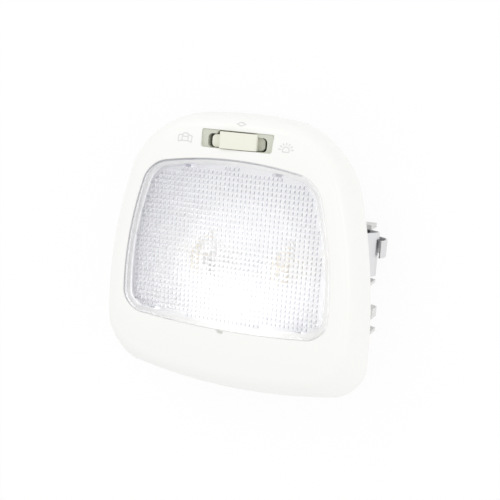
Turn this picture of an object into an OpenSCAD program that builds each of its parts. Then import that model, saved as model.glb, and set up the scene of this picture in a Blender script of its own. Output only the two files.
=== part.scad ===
// Car dome light: bezel, prismatic lens, rocker switch, festoon bulb and rear housing.
// It lies on its back: Z = 0 is the rear of the housing, +Z points out of the lens,
// +Y points from the lens towards the switch, and the rim is centred on X = 0, Y = 0.

/* [Rim of the bezel] */
// Width of the rim across its lower corners
rim_low_w = 121; // [117:0.5:125]
// Width of the rim across its upper corners
rim_up_w = 90; // [86:0.5:94]
// Height of the rim between the ends of its side edges
rim_h = 108.5; // [108:0.5:111]
// Radius of the upper corners
rim_up_r = 27; // [24:0.5:30]
// Radius of the lower corners
rim_low_r = 11; // [9:0.5:14]
// How far the top edge bows out
rim_up_bow = 5.5; // [5.2:0.1:6.2]
// How far the bottom edge bows out
rim_low_bow = 7.6; // [6:0.1:9]
// How far each side edge bows out
rim_side_bow = 5.5; // [4:0.1:7]
// Wall of the bezel
bezel_wall = 2.4; // [2:0.1:2.8]

/* [Front face] */
// Height of the face's shoulder over the rim
shoulder_rise = 15.2; // [13.5:0.1:17]
// How far the shoulder stands in from the rim at the lower corners
shoulder_in_low = 5.7; // [4.5:0.1:7]
// How far the shoulder stands in from the rim at the upper corners
shoulder_in_up = 4.7; // [3.5:0.1:6]
// How far the shoulder stands in from the bottom edge
shoulder_in_bottom = 6.65; // [5.5:0.1:8]
// How far the window's lip stands over the shoulder
face_crown = 2.6; // [2:0.1:3.2]

/* [Window and lens] */
// Width of the window across its lower corners
window_low_w = 93.1; // [90:0.1:95]
// Width of the window across its upper corners
window_up_w = 74.8; // [72:0.1:77]
// Height of the window between the ends of its side edges
window_h = 65; // [62:0.5:66]
// Place of the window's middle above the middle of the rim
window_y = 5.05; // [4:0.05:5.5]
// Radius of the window's upper corners
window_up_r = 8.3; // [6:0.1:12]
// Radius of the window's lower corners
window_low_r = 7.3; // [5:0.1:10]
// Depth of the recess that the lens drops into
seat_depth = 3.2; // [2.8:0.1:3.6]
// Width of the ledge that carries the lens
ledge_w = 2.2; // [1.8:0.1:2.6]
// Gap round the lens
lens_gap = 0.3; // [0.2:0.05:0.5]
// How far the middle of the lens stands over its edge
lens_crown = 1.6; // [0.8:0.1:2.4]
// Thickness of the lens at its edge, over the prisms
lens_t = 1.6; // [1.4:0.1:2]
// Smooth border between the lens's edge and the prisms
lens_border = 3.4; // [3:0.1:4.5]
// Distance from prism to prism across the lens
prism_pitch_x = 1.92; // [1.9:0.01:3]
// Distance from prism to prism up the lens
prism_pitch_y = 2.15; // [1.9:0.01:3]
// Depth of a prism
prism_depth = 0.8; // [0.5:0.05:1]
// Place of each lower snap lug from the middle of the lens
lug_x = 33.8; // [30:0.1:36]
// Width of a snap lug
lug_w = 4.4; // [3.5:0.1:5.5]
// Radius of the pry notch below the lens
pry_r = 1.7; // [1.3:0.1:2.2]

/* [Switch] */
// Place of the switch to the right of the middle
switch_x = 1.6; // [1:0.1:2.8]
// Place of the switch above the middle of the rim
switch_y = 50; // [49.8:0.1:50.2]
// Length of the recess in the face
slot_w = 31.5; // [30:0.1:33]
// Height of the recess and of the opening
slot_h = 7.4; // [7:0.1:7.8]
// Depth of the recess below the face
recess_depth = 1.2; // [0.8:0.1:1.5]
// Length of the opening that the rocker works in
opening_w = 26.2; // [25.8:0.1:27]
// Length of the rocker's knob
knob_w = 16.2; // [15:0.1:17.5]
// Height of the knob over the recess when the rocker is level
knob_rise = 2.6; // [2:0.1:3.2]
// Height of the knob over the pivot
pivot_drop = 9.4; // [9:0.1:9.8]
// Clearance of the rocker in its opening
rocker_gap = 0.3; // [0.2:0.05:0.4]
// Lean of the rocker from level at either end of its travel
rocker_lean = 7; // [5:0.5:12]
// Lean of the bridge contact at either end of its travel
bridge_lean = 8; // [6:0.5:9]
// Radius of the rocker's trunnions
trunnion_r = 1.5; // [1.2:0.1:1.7]

/* [Rear housing] */
// Depth of the housing behind the rim
back_depth = 24; // [22:0.5:27]
// Wall of the housing
tub_wall = 2; // [1.6:0.1:2.4]
// Floor of the housing
floor_t = 3; // [2.6:0.1:3.4]
// How far the housing stands in from the rim at the upper corners
tub_in_up = 7; // [6.5:0.1:8]
// How far the housing stands in from the rim at the lower corners
tub_in_low = 8.5; // [7.5:0.1:10]
// Length of the plug socket
socket_w = 25; // [24:0.5:27]
// Height of the plug socket
socket_h = 10.4; // [10:0.1:10.8]
// Depth of the plug socket
socket_depth = 9; // [8:0.1:10]
// Diameter of the screws' shanks
screw_d = 2.8; // [2.4:0.1:3.2]

/* [Bulb and contacts] */
// Length of the festoon bulb over its tips
bulb_len = 41; // [38:0.5:44]
// Diameter of the bulb's glass
glass_d = 10.4; // [9:0.1:12]
// Diameter of the bulb's caps
cap_d = 7; // [6:0.1:7.5]
// Height of the bulb's axis over the housing's back
bulb_z = 24; // [23:0.1:25]
// Place of the bulb above the middle of the rim
bulb_y = -4; // [-8:0.5:2]
// Thickness of the contact strips
strip_t = 0.8; // [0.6:0.05:1]
// Width of the contact strips
strip_w = 4.8; // [4:0.1:5.2]
// Distance between the switch's terminals
terminal_pitch = 8; // [7.4:0.1:8.4]

/* [Retaining clips] */
// Width of a clip
clip_w = 18.7; // [16:0.1:20]
// Place of the clips above the middle of the rim
clip_y = 6.3; // [2:0.1:10]
// Thickness of the clip's spring steel
clip_t = 0.7; // [0.5:0.05:0.9]
// How far the clip's outer tongue reaches from the housing
clip_reach = 8.4; // [7.5:0.1:9]

/* [Hidden] */
$fn = 40;
// Steps along a corner and along a side of every outline
corner_steps = 9;
side_steps = 7;
// Running clearance of pins and blades, and the small gap between pieces that only meet
fit = 0.05;
near = 0.1;
// Overlap that joins two shapes of one piece
bite = 0.4;

// An outline is [half width at the top, half width at the bottom, height, upper radius,
// lower radius, upper bow, lower bow, side bow, middle y, z].
rim = [rim_up_w/2, rim_low_w/2, rim_h, rim_up_r, rim_low_r, rim_up_bow, rim_low_bow, rim_side_bow,
    (rim_low_bow - rim_up_bow)/2, back_depth];
shoulder_in_top = 0.35;
shoulder_z = back_depth + shoulder_rise;
lip_z = shoulder_z + face_crown;
shoulder = [rim_up_w/2 - shoulder_in_up, rim_low_w/2 - shoulder_in_low,
    rim_h - shoulder_in_top - shoulder_in_bottom, rim_up_r - 5, rim_low_r + 2, rim_up_bow - 1,
    rim_low_bow, rim_side_bow + 1.5, rim[8] + (shoulder_in_bottom - shoulder_in_top)/2, shoulder_z];
window_up_bow = 4.55;
window_low_bow = 2.85;
window_side_bow = 3.45;
lip = [window_up_w/2, window_low_w/2, window_h, window_up_r, window_low_r, window_up_bow,
    window_low_bow, window_side_bow, window_y, lip_z];
tub_in_top = 7.8;
tub_in_bottom = 6.7;
tub = [rim_up_w/2 - tub_in_up, rim_low_w/2 - tub_in_low, rim_h - tub_in_top - tub_in_bottom,
    18, 14, rim_up_bow, rim_low_bow - 3.6, rim_side_bow, rim[8] + (tub_in_bottom - tub_in_top)/2, 0];

// Steps of the functions that make outlines
function slope(p) = (p[1] - p[0])/p[2];
function lean(p) = sqrt(1 + slope(p)*slope(p));
function inset(p, d) = [p[0] + (slope(p) - lean(p))*d, p[1] - (slope(p) + lean(p))*d, p[2] - 2*d,
    max(p[3] - d, 0.8), max(p[4] - d, 0.8), p[5], p[6], p[7], p[8], p[9]];
function at_z(p, z) = [for (i = [0:9]) i == 9 ? z : p[i]];
function mix(a, b, t) = a*(1 - t) + b*t;
function bend(a, b, c, t) = a*(1 - t)*(1 - t) + b*2*t*(1 - t) + c*t*t;
function arc(c, r, a0, a1, n) = [for (i = [0:n]) let (a = a0 + (a1 - a0)*i/n) c + r*[cos(a), sin(a)]];
function between(a, b, n) = [for (i = [1:n - 1]) mix(a, b, i/n)];
function half_width(p, y) = let (v = 2*(y - p[8])/p[2])
    p[0] + (p[1] - p[0])*(1 - v)/2 + p[7]*(1 - v*v);
function bowed(p, q) = let (v = 2*q.y/p[2], side = p[0] + (p[1] - p[0])*(1 - v)/2, u = q.x/side)
    [q.x + sign(q.x)*p[7]*(1 - v*v)*min(1, 2*abs(u)),
     q.y + p[8] + max(v, 0)*p[5]*(1 - u*u) + min(v, 0)*p[6]*(1 - u*u)];
function outline(p, nc = corner_steps, ns = side_steps) = let (s = slope(p), k = lean(p), a = atan(s),
    tr = [p[0] + p[3]*(s - k), p[2]/2 - p[3]], br = [p[1] - p[4]*(s + k), p[4] - p[2]/2],
    up_r = arc(tr, p[3], a, 90, nc), up_l = arc([-tr.x, tr.y], p[3], 90, 180 - a, nc),
    low_l = arc([-br.x, br.y], p[4], 180 - a, 270, nc), low_r = arc(br, p[4], 270, 360 + a, nc))
    [for (q = concat(up_r, between(up_r[nc], up_l[0], ns), up_l, between(up_l[nc], low_l[0], ns),
        low_l, between(low_l[nc], low_r[0], ns), low_r, between(low_r[nc], up_r[0], ns))) bowed(p, q)];
function ring(p, nc = corner_steps, ns = side_steps) = [for (q = outline(p, nc, ns)) [q.x, q.y, p[9]]];
function rounded(w, h, r) = outline([w/2, w/2, h, r, r, 0, 0, 0, 0, 0], 5, 1);
function top_y(p) = p[8] + p[2]/2 + p[5];
function bottom_y(p) = p[8] - p[2]/2 - p[6];
function up_edge(p, x) = p[8] + p[2]/2 + p[5]*(1 - pow(x/p[0], 2));
function low_edge(p, x) = p[8] - p[2]/2 - p[6]*(1 - pow(x/p[1], 2));

// Where the round edge of the face begins and ends, and the height of the face over the middle
round_start = mix(rim, shoulder, 0.55);
round_end = mix(shoulder, lip, 0.3);
face_bulge = 0.5;
function face_at(t) = let (p = mix(round_end, lip, t)) at_z(p, p[9] + face_bulge*4*t*(1 - t));
function face_z(y) = let (t = (y - top_y(round_end))/(top_y(lip) - top_y(round_end)))
    mix(round_end[9], lip_z, t) + face_bulge*4*t*(1 - t);

// Heights
seat_z = lip_z - seat_depth;
ledge_t = 1.5;
// Height of the housing's wall, under the flange of the reflector
tub_h = seat_z - 5.2;
flange_top = tub_h + 1.2;
recess_z = face_z(switch_y) - recess_depth;
pivot_z = recess_z + knob_rise - pivot_drop;
body_top = pivot_z + trunnion_r + 1.5;
body_floor = 19.2;
body_bottom = 18;
bridge_axis = 21.3;
bridge_t = 0.6;
bridge_z = bridge_axis + strip_t/2 + near;
pad_top = 20;
socket_roof = socket_depth + 2;
tower_top = 14;
head_seat = 9;

// Joins rings of points into a closed solid, as a loop or with a flat cap at each end
module skin(rings, loop = false) {
    n = len(rings[0]);
    m = len(rings);
    sides = [for (i = [0:m - (loop ? 1 : 2)], j = [0:n - 1])
        let (a = i*n + j, b = i*n + (j + 1)%n, c = ((i + 1)%m)*n + (j + 1)%n, d = ((i + 1)%m)*n + j)
        each [[a, c, b], [a, d, c]]];
    caps = loop ? [] : [[for (j = [0:n - 1]) j], [for (j = [n - 1:-1:0]) (m - 1)*n + j]];
    polyhedron(points = [for (r = rings) each r], faces = concat(sides, caps));
}

// A bar of the strip's section along each straight run between two points
module strip(path) for (i = [1:len(path) - 1]) {
    a = path[i - 1];
    b = path[i];
    d = [for (k = [0:2]) abs(b[k] - a[k])];
    size = d.x > 0 ? [d.x + strip_w, strip_w, strip_t]
        : d.y > 0 ? [strip_w, d.y + strip_t, strip_t] : [strip_w, strip_t, d.z + strip_t];
    translate((a + b)/2) cube(size, center = true);
}

function heading(a, b) = (b - a)/norm(b - a);
function side_of(path, i) = let (last = len(path) - 1,
    a = heading(path[max(i - 1, 0)], path[max(i, 1)]),
    b = heading(path[min(i, last - 1)], path[min(i + 1, last)]),
    u = (a + b)/norm(a + b)) [-u.y, u.x]/(u*a);
function ribbon(path, t) = concat(path, [for (i = [len(path) - 1:-1:0]) path[i] - t*side_of(path, i)]);

// Places of the four screws
screw_in = 12;
screws = [for (s = [-1, 1]) each [[s*26, top_y(tub) - 9.7], [s*(tub[1] - screw_in), bottom_y(tub) + 11.5]]];
module at_screws() for (p = screws) translate([p.x, p.y, 0]) children();
module at_switch(z = 0) translate([switch_x, switch_y, z]) children();

boss_r = 3;
post_x = 18.4;
post_r = 1.25;
slot_r = 1.2;
opening_r = 1.9;
collar_wall = 1.6;

function bezel_outer() = concat([rim], [for (i = [0:8]) bend(round_start, shoulder, round_end, i/8)],
    [for (i = [1:3]) face_at(i/4)], [at_z(inset(lip, -0.5), lip_z), at_z(lip, lip_z - 0.5)]);
function bezel_window() = [at_z(lip, seat_z), at_z(inset(lip, ledge_w), seat_z),
    at_z(inset(lip, ledge_w), seat_z - ledge_t), at_z(inset(lip, 0.4), seat_z - ledge_t),
    at_z(inset(lip, 0.4), flange_top), at_z(inset(lip, -collar_wall), flange_top),
    at_z(inset(lip, -collar_wall), lip_z - bezel_wall - 0.2)];
function bezel_inner() = let (a = inset(round_start, bezel_wall), b = inset(shoulder, bezel_wall),
    b_low = at_z(b, shoulder_z - bezel_wall), c = at_z(round_end, round_end[9] - bezel_wall))
    concat([for (i = [0:4]) bend(c, b_low, a, i/4)], [inset(rim, bezel_wall)]);

module bezel() color("ivory") difference() {
    union() {
        skin([for (p = concat(bezel_outer(), bezel_window(), bezel_inner())) ring(p)], loop = true);
        at_screws() translate([0, 0, tower_top]) cylinder(r = boss_r, h = seat_z + 1 - tower_top);
        at_switch(body_top) linear_extrude(recess_z - body_top - 0.6)
            polygon(rounded(opening_w + 2*collar_wall, slot_h + 2*collar_wall, opening_r));
        for (s = [-1, 1]) at_switch() translate([s*post_x, 0, body_top - 2]) {
            cylinder(r = post_r, h = recess_z - body_top + 1.4);
            cylinder(r = post_r + 0.8, h = 0.8);
        }
    }
    at_screws() translate([0, 0, tower_top - 1]) cylinder(d = screw_d + 2*fit, h = 14);
    at_switch(recess_z) linear_extrude(10) polygon(rounded(slot_w, slot_h, slot_r));
    at_switch(body_top - 1) linear_extrude(10) polygon(rounded(opening_w, slot_h, opening_r));
    translate([0, bottom_y(lip), seat_z + 1]) cylinder(r = pry_r, h = 10);
}

lens_edge = inset(lip, lens_gap);
lens_top = lip_z + 0.1;
lens_under = lens_top - lens_t;
function lens_dome(t) = let (p = mix(inset(lens_edge, 0.8), inset(lens_edge, window_h/2 - 3), t))
    at_z(p, lens_top + lens_crown*(1 - (1 - t)*(1 - t)));

// Is the point inside the outline? It counts the edges to the right of the point.
function inside(q, loop) = len([for (i = [0:len(loop) - 1])
    let (a = loop[i], b = loop[(i + 1)%len(loop)])
    if ((a.y > q.y) != (b.y > q.y) && q.x < mix(a.x, b.x, (q.y - a.y)/(b.y - a.y))) i])%2 == 1;

// Square prisms that point down from Z = 0, on every cell of the grid that lies inside the border
module prisms() {
    columns = 2*floor(half_width(inset(lip, lens_border), window_y)/prism_pitch_x);
    rows = 2*ceil(window_h/prism_pitch_y/2);
    border = outline(inset(lens_edge, lens_border));
    field = [for (i = [0:columns]) [for (j = [0:rows])
        inside([(i - columns/2)*prism_pitch_x, (j - rows/2)*prism_pitch_y + window_y], border)]];
    function used(i, j) = i >= 0 && j >= 0 && i < columns && j < rows
        && field[i][j] && field[i + 1][j] && field[i][j + 1] && field[i + 1][j + 1];
    function at(i, j, level) = level*(columns + 1)*(rows + 1) + i*(rows + 1) + j;
    // the nodes of the grid below, the same nodes above, then the tips of the prisms
    points = [for (level = [0:2], i = [0:columns], j = [0:rows]) let (shift = level == 2 ? 0.5 : 0)
        [(i + shift - columns/2)*prism_pitch_x, (j + shift - rows/2)*prism_pitch_y + window_y,
         [0, bite, -prism_depth][level]]];
    faces = [for (i = [0:columns - 1], j = [0:rows - 1]) if (used(i, j))
        let (loop = [[i, j], [i + 1, j], [i + 1, j + 1], [i, j + 1]],
            next = [[i, j - 1], [i + 1, j], [i, j + 1], [i - 1, j]])
        each concat([for (k = [0:3]) let (u = loop[k], v = loop[(k + 1)%4])
                [at(u.x, u.y, 0), at(v.x, v.y, 0), at(i, j, 2)]],
            [[for (k = [3:-1:0]) at(loop[k].x, loop[k].y, 1)]],
            [for (k = [0:3]) let (u = loop[k], v = loop[(k + 1)%4]) if (!used(next[k].x, next[k].y))
                [at(u.x, u.y, 1), at(v.x, v.y, 1), at(v.x, v.y, 0), at(u.x, u.y, 0)]])];
    translate([0, 0, lens_under - fit]) polyhedron(points = points, faces = faces);
}

// A springy arm behind the ledge with a hook under it
module lens_lug(y, out) {
    hook = 1.1;
    arm_t = 1.2;
    deep = seat_z - ledge_t - near;
    hull() {
        translate([-lug_w/2, min(y, y - out*arm_t), deep - 2.4]) cube([lug_w, arm_t, 0.4]);
        translate([-lug_w/2, min(y, y - out*arm_t), lens_under]) cube([lug_w, arm_t, bite]);
    }
    hull() {
        translate([-lug_w/2, min(y, y + out*hook), deep - 0.4]) cube([lug_w, hook, 0.4]);
        translate([-lug_w/2, min(y, y - out*arm_t), deep - 2.4]) cube([lug_w, arm_t, 0.4]);
    }
}

module lens() color([0.9, 0.92, 0.96, 0.4]) difference() {
    union() {
        difference() {
            skin([for (p = concat([at_z(lens_edge, seat_z), at_z(lens_edge, lens_top - 0.8),
                at_z(inset(lens_edge, 0.25), lens_top - 0.25)],
                [for (t = [0, 0.12, 0.28, 0.5, 0.75, 1]) lens_dome(t)])) ring(p)]);
            translate([0, 0, seat_z - 1]) linear_extrude(lens_under - seat_z + 1)
                polygon(outline(inset(lens_edge, ledge_w)));
        }
        prisms();
        for (s = [-1, 1]) {
            translate([s*lug_x, 0, 0]) lens_lug(lens_low_y(lug_x), -1);
            translate([s*lug_x*0.6, 0, 0]) lens_lug(lens_up_y(lug_x*0.6), 1);
        }
    }
    for (s = [-1, 1]) translate([s*lug_x - lug_w/2, lens_low_y(lug_x) - ledge_w - 1, lens_top - 1.2])
        cube([lug_w, 1.9, 5]);
}
function lens_low_y(x) = low_edge(inset(lip, ledge_w + near), x);
function lens_up_y(x) = up_edge(inset(lip, ledge_w + near), x);

// The bay that holds the switch stands out of the tub, just inside the rim
body_w = 32.4;
bay_gap = 0.3;
bay_w = body_w + 2*(tub_wall + bay_gap);
bay_h = 40;
bay_r = 3;
bay_top = up_edge(inset(rim, bezel_wall + near), switch_x + bay_w/2 - bay_r);
module tub_section(grow) union() {
    polygon(outline(inset(tub, -grow)));
    translate([switch_x, bay_top - bay_h/2]) polygon(rounded(bay_w + 2*grow, bay_h + 2*grow, bay_r + grow));
}
tower_r = 4.2;
head_r = 3;
pad_h = 20;
clip_margin = 2;
function clip_face() = half_width(tub, clip_y - clip_w/2 - clip_margin) + 0.3;
// The pad behind a clip reaches back to the wall where the housing is narrowest
function clip_pad() = clip_face() - half_width(tub, clip_y + clip_w/2 + clip_margin) + 1;

// A guide fin on the side wall, for the edge of the cut-out in the headlining
module fin(y, w, reach) for (s = [-1, 1]) scale([s, 1, 1]) translate([half_width(tub, y) - 1, y + w/2, 0])
    rotate([90, 0, 0]) linear_extrude(w) polygon([[0, 6], [reach + 1, 10], [reach + 1, 17], [0, 20]]);

module rear_housing() color("whitesmoke") difference() {
    union() {
        difference() {
            union() {
                linear_extrude(tub_h) polygon(outline(tub));
                linear_extrude(22) tub_section(0);
            }
            translate([0, 0, floor_t]) linear_extrude(tub_h) tub_section(-tub_wall);
        }
        // plug socket under the switch
        at_switch() translate([-socket_w/2 - 2, -socket_h/2 - 2, 0])
            cube([socket_w + 4, socket_h + 4, socket_roof]);
        at_screws() cylinder(r = tower_r, h = tower_top);
        // ribs that carry the reflector
        for (s = [-1, 1], y = [-22, 4, 26]) {
            x = half_width(tub, y) - tub_wall - 4.2;
            translate([s*(x + 2.4) - 2.4, y - 0.8, floor_t - bite]) cube([4.8, 1.6, tub_h - floor_t + bite]);
        }
        for (s = [-1, 1]) translate([s*20 - 0.8, bottom_y(tub) + tub_wall - 0.5, floor_t - bite])
            cube([1.6, bottom_y(lip) - bottom_y(tub) + 1, tub_h - floor_t + bite]);
        // pads and rails that hold the clips
        for (s = [-1, 1]) {
            translate([s*(clip_face() - clip_pad()/2) - clip_pad()/2, clip_y - clip_w/2 - clip_margin, 1.5])
                cube([clip_pad(), clip_w + 2*clip_margin, pad_h]);
            for (e = [-1, 1]) translate([s*(clip_face() + 0.9) - 0.9 - bite/2, clip_y + e*(clip_w/2 + 1.1) - 1, 1.5])
                cube([1.8 + bite, 2, 9]);
        }
        fin(-6, 1.4, 6);
        fin(-19, 4.3, 6.6);
        fin(-27, 1.4, 6.6);
    }
    at_switch() translate([-socket_w/2, -socket_h/2, -1]) cube([socket_w, socket_h, socket_depth + 1]);
    for (i = [-1:1]) at_switch() translate([i*terminal_pitch, 0, socket_depth])
        cube([strip_w + 2*near, strip_t + 2*near, 6], center = true);
    at_screws() {
        translate([0, 0, -1]) cylinder(r = head_r + 0.4, h = head_seat + 1);
        cylinder(d = screw_d + 0.5, h = tower_top + 1);
    }
    // room for the body of the switch above the bay
    at_switch(floor_t + 19) translate([-bay_w/2 + tub_wall, -8, 0]) cube([bay_w - 2*tub_wall, 20, tub_h]);
    // shallow pockets that lighten the floor
    for (i = [-2:2], j = [-2:1]) translate([i*15 - 6, j*15 + 1.5, -1]) cube([12, 12, 2.3]);
    // cooling slots in the bottom wall
    for (i = [-3:3]) translate([i*8 - 1.2, bottom_y(tub) - 3, 8]) cube([2.4, 12, 16]);
}

dish_floor = [22, 23.5, 38, 5, 5, 0, 0, 0, -8, 14];
dish_t = 1.2;
module reflector() color("white") difference() {
    top = at_z(inset(lip, 3.6), flange_top);
    low = at_z(inset(lip, 4.6), tub_h);
    knee = at_z(mix(top, dish_floor, 0.45), 22);
    under = at_z(inset(dish_floor, -0.6), dish_floor[9] - dish_t);
    knee_low = at_z(inset(knee, -1), 21);
    skin([for (p = concat([under], [for (i = [1:4]) bend(under, knee_low, low, i/4)],
        [at_z(lip, tub_h), at_z(lip, flange_top)], [for (i = [0:5]) bend(top, knee, dish_floor, i/5)]))
        ring(p, 4, 4)]);
    for (s = [-1, 1]) translate([s*leaf_x(), bulb_y, dish_floor[9]]) cube([1.6, 10, 8], center = true);
}

cap_len = 7.5;
cone_len = 2.5;
neck_r = cap_d/2 - 0.3;
neck_in = 2;
cap_tip_r = 1.2;
function leaf_x() = bulb_len/2 - cone_len + 0.85;
leaf_t = 0.5;
leaf_w = 9;
// Radius of the cap's cone where it passes the inner face of a leaf
function cone_r(x) = mix(cap_tip_r, cap_d/2, (bulb_len/2 - x)/cone_len);

module along_x(s = 1) translate([0, bulb_y, bulb_z]) rotate([0, s*90, 0]) children();
module bulb_glass() color([0.95, 0.97, 1, 0.3]) along_x() rotate_extrude() {
    e = bulb_len/2 - cap_len;
    polygon([[0.0, -e - neck_in], [neck_r - 0.2, -e - neck_in], [neck_r - 0.2, -e + 0.3], [glass_d/2, -e + 3],
        [glass_d/2, e - 3], [neck_r - 0.2, e - 0.3], [neck_r - 0.2, e + neck_in], [0, e + neck_in],
        [0, e + neck_in - 0.8], [neck_r - 1, e + neck_in - 0.8], [neck_r - 1, e - 0.3], [glass_d/2 - 0.8, e - 3.2],
        [glass_d/2 - 0.8, 3.2 - e], [neck_r - 1, 0.3 - e], [neck_r - 1, 0.8 - e - neck_in], [0, 0.8 - e - neck_in]]);
}
module bulb_cap(s) color("silver") along_x(s) rotate_extrude() {
    e = bulb_len/2 - cap_len;
    polygon([[neck_r - 0.1, e], [cap_d/2, e], [cap_d/2, bulb_len/2 - cone_len], [cap_tip_r, bulb_len/2],
        [0, bulb_len/2], [0, e + neck_in + near], [neck_r - 0.1, e + neck_in + near]]);
}
module bulb_cap_left() bulb_cap(-1);
module bulb_cap_right() bulb_cap(1);
module bulb_filament() color("dimgray") along_x() {
    e = bulb_len/2 - cap_len + neck_in - 0.8 - near;
    cylinder(r = 0.45, h = 9, center = true);
    for (s = [-1, 1]) scale([1, 1, s]) translate([0, 0, 4]) cylinder(r = 0.25, h = e - 4);
}

// The upright leaf that grips the tip of the bulb
module bulb_leaf(s) difference() {
    translate([s*leaf_x() - leaf_t/2, bulb_y - leaf_w/2, floor_t]) cube([leaf_t, leaf_w, bulb_z + 5 - floor_t]);
    along_x(s) translate([0, 0, leaf_x() - 1]) cylinder(r = cone_r(leaf_x() - leaf_t/2) + fit, h = 2);
}
strip_z = floor_t + strip_t/2;
turn_y = 39.5;
rise_y = 37;
feed_z = socket_roof + 1;
lamp_z = body_bottom - 2.6;

module lamp_strip() color("goldenrod") {
    bulb_leaf(1);
    strip([[leaf_x(), bulb_y, strip_z], [leaf_x(), rise_y, strip_z], [leaf_x(), rise_y, lamp_z],
        [leaf_x(), turn_y, lamp_z], [switch_x, turn_y, lamp_z], [switch_x, switch_y + 2, lamp_z]]);
    // blade with a round edge that the bridge rocks on
    at_switch(lamp_z) translate([-strip_t/2, -strip_w/2, 0]) cube([strip_t, strip_w, bridge_axis - lamp_z]);
    at_switch(bridge_axis) rotate([90, 0, 0]) cylinder(r = strip_t/2, h = strip_w, center = true);
}
module feed_strip() color("goldenrod") {
    bulb_leaf(-1);
    strip([[-leaf_x(), bulb_y, strip_z], [-leaf_x(), rise_y, strip_z], [-leaf_x(), rise_y, feed_z],
        [-leaf_x(), turn_y, feed_z], [switch_x, turn_y, feed_z], [switch_x, switch_y, feed_z],
        [switch_x, switch_y, 1.9]]);
}
module switch_terminal(s) color("goldenrod") at_switch() translate([s*terminal_pitch, 0, 0]) {
    translate([-strip_w/2, -2.5, body_floor]) cube([strip_w, 5, pad_top - body_floor]);
    translate([-strip_w/2, -strip_t/2, 1.5]) cube([strip_w, strip_t, body_floor - 1.5 + bite]);
}
module ground_terminal() switch_terminal(-1);
module door_terminal() switch_terminal(1);

body_half = slot_h/2 + 1.3;
flange_w = 41;
module switch_body() color("gainsboro") at_switch() difference() {
    union() {
        translate([-body_w/2, -body_half, body_bottom]) cube([body_w, 2*body_half, body_top - body_bottom]);
        translate([-flange_w/2, -body_half, body_top - 1.2]) cube([flange_w, 2*body_half, 1.2]);
    }
    translate([-body_w/2 + 1.6, -slot_h/2, body_floor]) cube([body_w - 3.2, slot_h, body_top]);
    for (i = [-1, 1]) {
        translate([i*terminal_pitch, 0, body_bottom]) cube([strip_w + 2*near, strip_t + 2*near, 4], center = true);
        translate([i*post_x, 0, body_top - 2]) cylinder(r = post_r + near, h = 4);
    }
    translate([0, 0, body_bottom]) cube([strip_t + 2*near, strip_w + 2*near, 4], center = true);
    translate([0, 0, pivot_z]) rotate([90, 0, 0]) cylinder(r = trunnion_r + fit, h = 20, center = true);
}

// Pieces of the rocker are drawn level about the pivot and then leaned to the right
module rocker_pose() at_switch(pivot_z) rotate([0, rocker_lean, 0]) children();
rocker_half = slot_h/2 - rocker_gap;
wing_w = opening_w - 2.2;
wing_top = pivot_drop - knob_rise - 1.8;
wing_t = 2;
stem_r = 2.6;
bore_r = 1.7;
stem_end = -7.5;
tip_r = 1.5;
// Lowest point of the plunger under the pivot when the rocker is level
tip_low = bridge_z + bridge_t + 0.3 - pivot_z;

function knob_profile() = let (w = knob_w/2, t = pivot_drop, big = 60, a = asin((w - 1.2)/big))
    concat([[w - 0.3, wing_top - 1], [w, t - 1.5]], arc([w - 1.2, t - 1.5], 1.2, 0, 60, 4),
        [for (i = [-4:4]) let (b = -i*a/4) [big*sin(b), t - big*(1 - cos(b))]],
        arc([1.2 - w, t - 1.5], 1.2, 120, 180, 4), [[0.3 - w, wing_top - 1]]);

module rocker_button() color("beige") rocker_pose() difference() {
    union() {
        translate([0, rocker_half, 0]) rotate([90, 0, 0]) linear_extrude(2*rocker_half) polygon(knob_profile());
        translate([0, 0, wing_top - wing_t]) linear_extrude(wing_t)
            polygon(rounded(wing_w, 2*rocker_half, 1.7));
        translate([-3.4, -rocker_half, -2.2]) cube([6.8, 2*rocker_half, wing_top + 1.2]);
        translate([0, 0, stem_end]) cylinder(r = stem_r, h = -stem_end);
        rotate([90, 0, 0]) cylinder(r = trunnion_r, h = 2*body_half - 0.2, center = true);
    }
    translate([0, 0, stem_end - 1]) cylinder(r = bore_r, h = -stem_end);
}

spring_turns = 4;
spring_r = 1.15;
wire_r = 0.25;
spring_low = tip_low + 4.6;
spring_high = -1.1;
function coil(u, a) = let (t = 360*spring_turns*u, r = spring_r + wire_r*cos(a))
    [r*cos(t), r*sin(t), mix(spring_low + wire_r, spring_high - wire_r, u) + wire_r*sin(a)];
module detent_spring() color("silver") rocker_pose()
    skin([for (i = [0:spring_turns*12]) [for (k = [0:5]) coil(i/(spring_turns*12), -60*k)]]);

module detent_plunger() color("goldenrod") rocker_pose() translate([0, 0, tip_low + tip_r]) {
    sphere(r = tip_r);
    cylinder(r = tip_r, h = spring_low - tip_low - tip_r);
}

bridge_half = terminal_pitch + 1;
module contact_bridge() color("peru") at_switch(bridge_axis) rotate([0, -bridge_lean, 0])
    translate([0, 0, bridge_z - bridge_axis]) {
        translate([-bridge_half, -strip_w/2, 0]) cube([2*bridge_half, strip_w, bridge_t]);
        for (s = [-1, 1]) translate([s*(terminal_pitch - 0.7), 0, -0.5]) cylinder(r = 1.2, h = 0.5 + bridge_t/2);
    }

module clip(s) color("darkgray") scale([s, 1, 1]) translate([clip_face(), clip_y, 0]) {
    leaf = [[0, 3], [0, 7.5], [1.2, 9.6], [5, 11.4], [5.7, 13], [5.3, 15], [1.2, 21.1]];
    tongue = [[0, 3], [4.4, 3.6], [clip_reach - 1, 6], [clip_reach, 9], [clip_reach, 12], [clip_reach - 1, 15]];
    for (part = [[leaf, clip_w, 0], [tongue, clip_w*0.39, 2.3]])
        translate([0, part[2] + part[1]/2, 0]) rotate([90, 0, 0]) linear_extrude(part[1])
            polygon(ribbon(part[0], clip_t));
}
module clip_left() clip(-1);
module clip_right() clip(1);

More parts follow.
